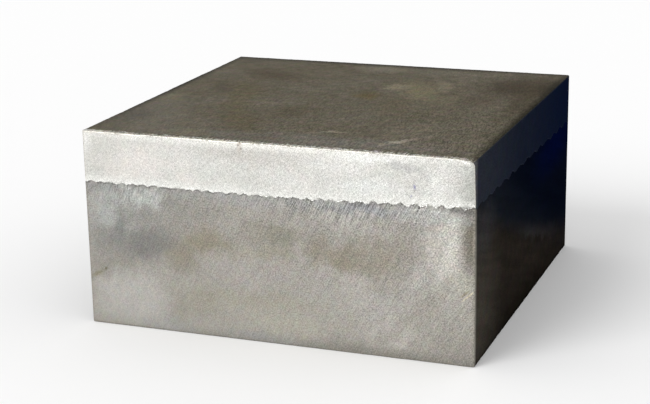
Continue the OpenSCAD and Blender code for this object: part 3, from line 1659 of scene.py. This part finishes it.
CLADDING_TOP = MetalFinish(
    name="dull_cladding_top",
    plane=FacePlane.LEVEL,
    ground=tone(113, 107, 93),
    tints=(tone(124, 119, 107), tone(103, 96, 79)),
    grain=Grain(
        size=0.36,
        light=0.2,
        depth=0.006,
        cloud_size=2.2,
        cloud=0.75,
        mottle_size=16.0,
        mottle=0.6,
        tinge=0.3,
        growth=(0.4, -0.4),
    ),
    marks=(
        Marks(slope=88.0, spacing=0.24, length=0.9, light=0.34, depth=0.003),
        Marks(slope=96.0, spacing=0.5, length=2.4, light=0.16, depth=0.003),
    ),
    patches=(
        # Clouds on the left.
        Patch((-40.0, -28.0), (10.0, 30.0), tone(126, 121, 110), 0.7, turn=18.0),
        Patch((-44.0, 46.0), (9.0, 5.0), tone(98, 94, 86), 0.5),
        Patch((-27.0, -3.0), (5.0, 24.0), tone(111, 103, 80), 0.55, turn=18.0),
        Patch((-17.0, -28.0), (4.5, 14.0), tone(109, 100, 80), 0.6, turn=35.0),
        Patch((-30.0, 26.0), (13.0, 7.0), tone(95, 86, 72), 0.75, turn=-25.0),
        Patch((-36.5, 6.0), (2.6, 7.0), tone(98, 90, 80), 0.6, turn=30.0),
        # Paler places at the back.
        Patch((-2.0, 42.0), (8.0, 6.0), tone(134, 127, 113), 0.85),
        Patch((12.0, 42.0), (10.0, 4.5), tone(122, 118, 104), 0.6),
        # Dark places on the right.
        Patch((40.0, 28.0), (11.0, 15.5), tone(82, 74, 62), 0.9),
        Patch((34.0, 10.0), (7.0, 9.0), tone(100, 91, 79), 0.6),
        Patch((46.0, 16.0), (4.5, 36.0), tone(86, 78, 64), 0.8),
        # Pale streaks right of the middle.
        Patch((16.0, 17.0), (6.0, 15.0), tone(132, 125, 102), 0.85, turn=25.0),
        Patch((8.8, 20.0), (3.6, 3.8), tone(145, 138, 118), 0.8),
        Patch((21.0, 24.5), (2.6, 8.0), tone(140, 132, 114), 0.8, turn=19.0),
        Patch((26.0, 8.0), (5.0, 7.0), tone(126, 119, 100), 0.5, turn=15.0),
        Patch((15.0, -3.0), (5.0, 13.0), tone(111, 103, 84), 0.5, turn=15.0),
        Patch((27.0, -28.0), (6.0, 10.0), tone(128, 120, 106), 0.6, turn=-20.0),
        # Single clouds.
        Patch((5.0, 8.0), (5.0, 5.0), tone(106, 94, 62), 0.6),
        Patch((-7.0, -15.0), (7.0, 7.0), tone(98, 90, 74), 0.5),
        Patch((-46.0, -8.0), (5.0, 6.0), tone(130, 124, 105), 0.7),
        Patch((-45.0, -30.0), (6.0, 8.0), tone(107, 103, 94), 0.8),
        # Along the front.
        Patch((8.0, -43.0), (40.0, 6.5), tone(130, 126, 118), 0.75),
        Patch((-5.0, -42.8), (10.0, 3.6), tone(110, 104, 92), 0.7),
        Patch((-25.0, -43.5), (8.0, 3.6), tone(130, 123, 108), 0.8),
        # Bright rim over the sanded face.
        Patch((0.0, -49.0), (76.0, 1.2), tone(228, 225, 217), 0.95, outline=Outline.RAGGED),
        EvenPatch((-47.5, -49.0), (6.5, 1.5), tone(228, 225, 217), 0.95),
        # Pale rubbed streaks.
        Patch((28.0, -38.5), (1.6, 4.8), tone(176, 166, 152), 0.9, turn=-34.0, softness=1.0),
        Patch((33.0, -30.0), (1.2, 5.0), tone(130, 121, 110), 0.6, turn=-40.0, softness=1.0),
        Patch((9.0, -33.0), (4.6, 1.0), tone(150, 142, 128), 0.85, turn=20.0, softness=1.0),
        # Bright front left corner.
        EvenPatch((-50.0, -49.0), (1.2, 1.8), tone(228, 226, 220), 0.95, softness=0.4),
    ),
    spots=(
        # The right, left and back edges darken.
        Wash((50.0, 0.0), (2.2, 80.0), tone(42, 40, 31), 0.92),
        Wash((50.0, 31.0), (4.4, 13.0), tone(44, 42, 36), 0.6),
        Wash((-50.0, 6.0), (2.4, 60.0), tone(62, 60, 57), 0.85),
        Wash((0.0, 49.0), (80.0, 3.6), tone(56, 55, 53), 0.85),
    ),
    edge=Band(tone(128, 122, 106), 0.7, 0.5),
    corner=Band(tone(176, 170, 152), 2.6, 0.8),
    roughness=0.5,
    grazing=(0.4, 0.4, 0.4),
)

STEEL_UNDERSIDE = MetalFinish(
    name="dull_steel_underside",
    plane=FacePlane.LEVEL,
    ground=tone(104, 100, 94),
    tints=(tone(114, 112, 108), tone(92, 84, 74)),
    grain=Grain(size=0.4, light=0.2, depth=0.006, cloud_size=2.6, mottle=0.7),
    marks=(Marks(slope=8.0, spacing=0.5, length=9.0, light=0.16, depth=0.004),),
    roughness=0.55,
    grazing=(0.4, 0.4, 0.4),
)

# Painted shade and painted reflection: the right face's dark colour, matt and without gloss, stands
# in for the shade and the dark surroundings it reflects.
CUT_CLADDING_PAINTED_SHADE = MetalFinish(
    name="cut_cladding_painted_shade",
    plane=FacePlane.UPRIGHT_SIDE,
    ground=tone(24, 29, 41),
    tints=(tone(28, 33, 45), tone(20, 25, 38)),
    grain=Grain(size=0.36, light=0.34, depth=0.004, cloud_size=2.4, cloud=0.5, tinge=0.4),
    patches=(
        # Painted reflection and shade: paler towards the front edge, with a painted highlight on
        # the edge itself, darker and bluer towards the back.
        Wash((-50.0, 43.0), (34.0, 40.0), tone(40, 43, 51), 0.9),
        Wash((50.0, 43.0), (48.0, 40.0), tone(9, 17, 38), 0.9),
        Wash((-49.0, 43.0), (1.3, 20.0), tone(84, 86, 88), 0.9),
    ),
    edge=Band(tone(70, 70, 68), 0.5, 0.4),
    line=Band(tone(48, 54, 64), 0.3, 0.6),
    corner=Band(tone(104, 102, 94), 2.4, 0.7),
    roughness=0.6,
    shaded_as_metal=False,
)

# Painted shade and painted reflection: the right face's dark colour, matt and without gloss, stands
# in for the shade and the dark surroundings it reflects.
CUT_STEEL_PAINTED_SHADE = MetalFinish(
    name="cut_steel_painted_shade",
    plane=FacePlane.UPRIGHT_SIDE,
    ground=tone(36, 32, 28),
    tints=(tone(41, 37, 32), tone(31, 27, 22)),
    grain=Grain(size=0.36, light=0.34, depth=0.004, cloud_size=2.4, cloud=0.5, tinge=0.4),
    marks=(Marks(slope=-16.0, spacing=2.4, length=22.0, light=0.16),),
    patches=(
        # Painted reflection: a pale streak, and painted shade at the dark foot of the face.
        Patch((15.0, 15.2), (25.0, 2.7), tone(58, 54, 52), 0.85, turn=-17.0),
        Patch((-6.0, 0.0), (56.0, 6.0), tone(25, 22, 18), 0.8),
        # Painted reflection of the dark surroundings: dark and bluish above a slanting line.
        EvenPatch((5.0, 50.0), (120.0, 32.0), tone(22, 26, 32), 0.95, turn=-17.0, softness=0.15),
        EvenPatch((50.0, 40.0), (110.0, 38.0), tone(5, 9, 21), 0.95, turn=-17.0, softness=0.35),
        Wash((34.0, 34.5), (26.0, 7.5), tone(2, 8, 42), 0.85),
        # Painted reflection, paler towards the front edge.
        Patch((-44.0, 31.0), (13.0, 7.0), tone(42, 43, 48), 0.75),
        Patch((-49.0, 12.0), (22.0, 22.0), tone(64, 60, 54), 0.85, softness=1.0),
    ),
    spots=(
        # Painted highlight along the front edge, and painted shade along the dark lower edge.
        Wash((-49.0, 14.0), (1.2, 36.0), tone(140, 137, 128), 0.9),
        Wash((0.0, 0.0), (70.0, 1.2), tone(10, 9, 7), 0.8),
    ),
    edge=Band(tone(62, 60, 55), 0.5, 0.4),
    line=Band(tone(4, 6, 11), 0.3, 0.5),
    roughness=0.6,
    shaded_as_metal=False,
)

SAW_MARKS = (
    Marks(slope=84.0, spacing=0.5, length=12.0, light=0.15, depth=0.01),
    Marks(slope=84.0, spacing=3.2, length=60.0, light=0.08, depth=0.01),
)

SAWN_CLADDING = MetalFinish(
    name="sawn_cladding_left",
    plane=FacePlane.UPRIGHT_SIDE,
    ground=tone(138, 138, 134),
    tints=(tone(152, 152, 149), tone(122, 120, 115)),
    grain=Grain(size=0.34, light=0.34, depth=0.004, cloud_size=2.0, cloud=0.3, mottle=0.7),
    marks=SAW_MARKS,
    edge=Band(tone(186, 185, 180), 0.6, 0.6),
    line=Band(tone(170, 170, 166), 0.3, 0.4),
    roughness=0.46,
    grazing=(0.6, 0.6, 0.6),
)

SAWN_STEEL = MetalFinish(
    name="sawn_steel_left",
    plane=FacePlane.UPRIGHT_SIDE,
    ground=tone(90, 88, 84),
    tints=(tone(103, 102, 99), tone(76, 72, 66)),
    grain=Grain(size=0.34, light=0.38, depth=0.005, cloud_size=2.0, cloud=0.3, mottle=0.8),
    marks=SAW_MARKS,
    edge=Band(tone(132, 128, 121), 0.6, 0.6),
    line=Band(tone(48, 47, 45), 0.5, 0.8),
    roughness=0.5,
    grazing=(0.5, 0.5, 0.5),
)

SAWN_CLADDING_BACK, SAWN_STEEL_BACK = (
    replace(finish, name=name, plane=FacePlane.UPRIGHT_FRONT)
    for finish, name in (
        (SAWN_CLADDING, "sawn_cladding_back"),
        (SAWN_STEEL, "sawn_steel_back"),
    )
)


# ---------------------------------------------------------------- studio


@dataclass(frozen=True)
class ViewPoint:
    """Where the camera stands.

    Attributes:
        aim: The point it looks at, from the centre of the block's bottom face.
        turn: How far it stands to the right of the front, in degrees.
        rise: How high it stands above level, in degrees.
        roll: How far it is tipped, in degrees.
        distance: How far it is from the aim.
        lens: Focal length of its lens, in millimetres.
        sensor: Width of its sensor, in millimetres.
    """

    aim: tuple[float, float, float] = (-0.0042, -0.0023, 0.0226)
    turn: float = 20.79
    rise: float = 16.20
    roll: float = -0.98
    distance: float = 0.4263
    lens: float = 88.5
    sensor: float = 36.0

    def build(self) -> bpy.types.Object:
        """Add the camera and look through it.

        Returns:
            The camera.
        """
        turn, rise = math.radians(self.turn), math.radians(self.rise)
        level = math.cos(rise)
        back = Vector((math.sin(turn) * level, -math.cos(turn) * level, math.sin(rise)))
        view = back.to_track_quat("Z", "Y").to_matrix().to_4x4()
        tip = Matrix.Rotation(math.radians(self.roll), 4, "Z")
        data = bpy.data.cameras.new("view")
        data.lens = self.lens
        data.sensor_width = self.sensor
        data.clip_start = 10.0 * MM
        camera = bpy.data.objects.new("view", data)
        stand = Vector(self.aim) + back * self.distance
        camera.matrix_world = Matrix.Translation(stand) @ view @ tip
        bpy.context.scene.collection.objects.link(camera)
        bpy.context.scene.camera = camera
        return camera


@dataclass(frozen=True)
class Studio:
    """Plain pale floor and plain soft light.

    Attributes:
        floor_size: Width of the floor.
        floor_colour: Colour of the floor.
        floor_roughness: Roughness of the floor.
        ambient: Light from all round.
        key: Strength of the main lamp.
        key_spread: How soft its shadow is, in degrees.
        key_from: Where the main lamp shines from.
    """

    floor_size: float = 12.0
    floor_colour: Colour = (0.9, 0.9, 0.9)
    floor_roughness: float = 0.9
    ambient: float = 0.85
    key: float = 1.4
    key_spread: float = 35.0
    key_from: tuple[float, float, float] = (-0.5, -0.8, 0.62)

    def build(self) -> None:
        """Add the floor, the surroundings and the lamp."""
        self._add_floor()
        self._set_surroundings()
        self._add_key()
        bpy.context.scene.view_settings.view_transform = "Standard"

    @staticmethod
    def _seen(graph: Graph) -> Socket:
        """1 where the camera, a reflection or glass looks, and 0 for the light itself.

        Args:
            graph: The graph to add to.

        Returns:
            The share that is seen.
        """
        path = graph.add("ShaderNodeLightPath")
        seen = graph.math("ADD", path.outputs["Is Camera Ray"], path.outputs["Is Glossy Ray"])
        return graph.math("ADD", seen, path.outputs["Is Transmission Ray"])

    def _add_floor(self) -> None:
        """Add the floor at the block's own level."""
        bpy.ops.object.select_all(action="DESELECT")
        bpy.ops.mesh.primitive_plane_add(size=self.floor_size)
        floor = bpy.context.object
        floor.name = "floor"
        floor.data.transform(Matrix.Translation((0.0, 0.0, CAD_BOX[0].z)))
        material = bpy.data.materials.new("pale_floor")
        material.use_nodes = True
        shader = material.node_tree.nodes["Principled BSDF"]
        shader.inputs["Base Color"].default_value = (*self.floor_colour, 1.0)
        shader.inputs["Roughness"].default_value = self.floor_roughness
        shader.inputs["Specular IOR Level"].default_value = 0.0
        floor.data.materials.append(material)

    def _set_surroundings(self) -> None:
        """Make the surroundings white to look at, and a softer light."""
        world = bpy.data.worlds.new("surroundings")
        world.use_nodes = True
        bpy.context.scene.world = world
        graph = Graph(world.node_tree)
        background = world.node_tree.nodes["Background"]
        strength = graph.add("ShaderNodeMapRange")
        graph.put(strength.inputs["Value"], self._seen(graph))
        graph.put(strength.inputs["To Min"], self.ambient)
        graph.put(strength.inputs["To Max"], 1.0)
        background.inputs["Color"].default_value = (1.0, 1.0, 1.0, 1.0)
        graph.put(background.inputs["Strength"], strength.outputs["Result"])

    def _add_key(self) -> None:
        """Add the main lamp, a wide soft sun."""
        data = bpy.data.lights.new("key", "SUN")
        data.energy = self.key
        data.angle = math.radians(self.key_spread)
        lamp = bpy.data.objects.new("key", data)
        lamp.rotation_euler = Vector(self.key_from).to_track_quat("Z", "Y").to_euler()
        bpy.context.scene.collection.objects.link(lamp)


# ---------------------------------------------------------------- making


@dataclass
class BasePlate(Plate):
    """The steel base plate, sanded on its front face."""

    def looks(self) -> dict[Side, MetalFinish]:
        """Choose the finish of each side, the hidden face at the bond among them.

        Returns:
            The finish of each side of the plate.
        """
        return {
            Side.FRONT: STEEL_FRONT,
            Side.BACK: SAWN_STEEL_BACK,
            Side.LEFT: SAWN_STEEL,
            Side.RIGHT: CUT_STEEL_PAINTED_SHADE,
            Side.TOP: STEEL_UNDERSIDE,
            Side.BOTTOM: STEEL_UNDERSIDE,
        }


@dataclass
class CladdingPlate(Plate):
    """The light-alloy cladding plate, sanded on its front face, with its ground corner."""

    corner: tuple[float, float, float] | None = (CAD_BOX[1].x, CAD_BOX[0].y, CAD_BOX[1].z)
    nicks: tuple[Nick, ...] = (
        Nick((-7.5 * MM, CAD_BOX[0].y, CAD_BOX[1].z), width=1.0 * MM, depth=0.25 * MM),
    )

    def looks(self) -> dict[Side, MetalFinish]:
        """Choose the finish of each side, the hidden face at the bond among them.

        Returns:
            The finish of each side of the plate.
        """
        return {
            Side.FRONT: CLADDING_FRONT,
            Side.BACK: SAWN_CLADDING_BACK,
            Side.LEFT: SAWN_CLADDING,
            Side.RIGHT: CUT_CLADDING_PAINTED_SHADE,
            Side.TOP: CLADDING_TOP,
            Side.BOTTOM: CLADDING_TOP,
        }


def main() -> None:
    """Build the plates, dress them and set the studio round them."""
    logging.basicConfig(level=logging.INFO, format="%(message)s")
    ViewPoint().build()
    bond = BondSurface.from_frame(WELD_TURN)
    plates = (
        BasePlate("steel_base", "base_plate", "base_steel", bond, CAD_BOX[0].z),
        CladdingPlate("alloy_cladding", "cladding_plate", "cladding_alloy", bond, CAD_BOX[1].z),
    )
    for plate in plates:
        piece = plate.build()
        plate.dress(piece)
        plate.hand_over(piece)
        log.info("%s: %d faces", piece.name, len(piece.data.polygons))
    Studio().build()


if __name__ == "__main__":
    main()
